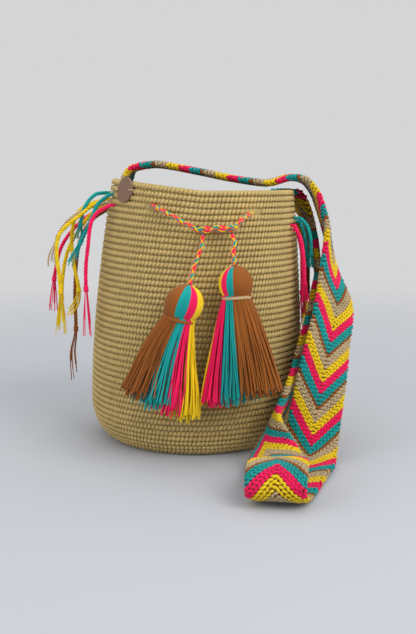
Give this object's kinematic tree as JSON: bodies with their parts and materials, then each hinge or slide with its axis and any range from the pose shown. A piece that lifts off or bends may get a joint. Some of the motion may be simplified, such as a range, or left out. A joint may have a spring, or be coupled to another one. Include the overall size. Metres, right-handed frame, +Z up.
{
  "type": "crocheted bucket bag",
  "caption": "Crocheted bucket bag with a woven chevron shoulder strap, a braided drawstring knotted in front, two yarn tassels and cord fringes.",
  "frame": {"origin": "centre of the bag's flat base, on the surface that it stands on", "axes": "+Z up through the bag, -Y towards the front with the tassels, +X towards the side where the strap hangs down"},
  "size_m": [0.3293, 0.3695, 0.2966],
  "materials": {
    "beige_yarn": "matt cotton yarn, single crochet",
    "brown_yarn": "matt cotton yarn",
    "teal_yarn": "matt cotton yarn",
    "pink_yarn": "matt cotton yarn",
    "yellow_yarn": "matt cotton yarn",
    "strap_weave": "woven band in five yarn colours",
    "braided_cord": "four-colour braided cord",
    "tag_leather": "matt brown leather"
  },
  "bodies": {
    "bag": {"bag_body": "beige_yarn", "shoulder_strap": "strap_weave", "drawstring": "braided_cord", "drawstring_knot": "braided_cord", "round_tag": "tag_leather", "left_tag_stitch": "beige_yarn", "right_tag_stitch": "beige_yarn", "left_fringe_yellow_front": "yellow_yarn", "left_fringe_beige": "beige_yarn", "left_fringe_teal_front": "teal_yarn", "left_fringe_teal_back": "teal_yarn", "left_fringe_yellow_middle": "yellow_yarn", "left_fringe_yellow_back": "yellow_yarn", "left_fringe_pink_front": "pink_yarn", "left_fringe_pink_back": "pink_yarn", "left_fringe_brown": "brown_yarn", "right_fringe_teal_front": "teal_yarn", "right_fringe_teal_back": "teal_yarn", "right_fringe_pink_front": "pink_yarn", "right_fringe_pink_back": "pink_yarn", "right_fringe_brown": "brown_yarn", "right_fringe_yellow": "yellow_yarn"},
    "left_cord": {"left_tassel_cord": "braided_cord"},
    "left_tassel": {"left_tassel_brown_yarn": "brown_yarn", "left_tassel_teal_yarn": "teal_yarn", "left_tassel_pink_yarn": "pink_yarn", "left_tassel_yellow_yarn": "yellow_yarn", "left_tassel_binding": "brown_yarn"},
    "right_cord": {"right_tassel_cord": "braided_cord"},
    "right_tassel": {"right_tassel_brown_yarn": "brown_yarn", "right_tassel_teal_yarn": "teal_yarn", "right_tassel_pink_yarn": "pink_yarn", "right_tassel_yellow_yarn": "yellow_yarn", "right_tassel_binding": "beige_yarn"}
  },
  "joints": [
    {"name": "left_cord_swing", "type": "hinge", "parent": "bag", "child": "left_cord", "pos_m": [0.008, -0.11, 0.2248], "axis": [-1, 0, 0], "range_deg": [0, 55]},
    {"name": "left_tassel_swing", "type": "hinge", "parent": "left_cord", "child": "left_tassel", "pos_m": [-0.0042, -0.13, 0.179], "axis": [0, 1, 0], "range_deg": [0, 25]},
    {"name": "right_cord_swing", "type": "hinge", "parent": "bag", "child": "right_cord", "pos_m": [0.0352, -0.11, 0.2262], "axis": [-1, 0, 0], "range_deg": [0, 55]},
    {"name": "right_tassel_swing", "type": "hinge", "parent": "right_cord", "child": "right_tassel", "pos_m": [0.0384, -0.1225, 0.1965], "axis": [-1, 0, 0], "range_deg": [0, 25]}
  ]
}
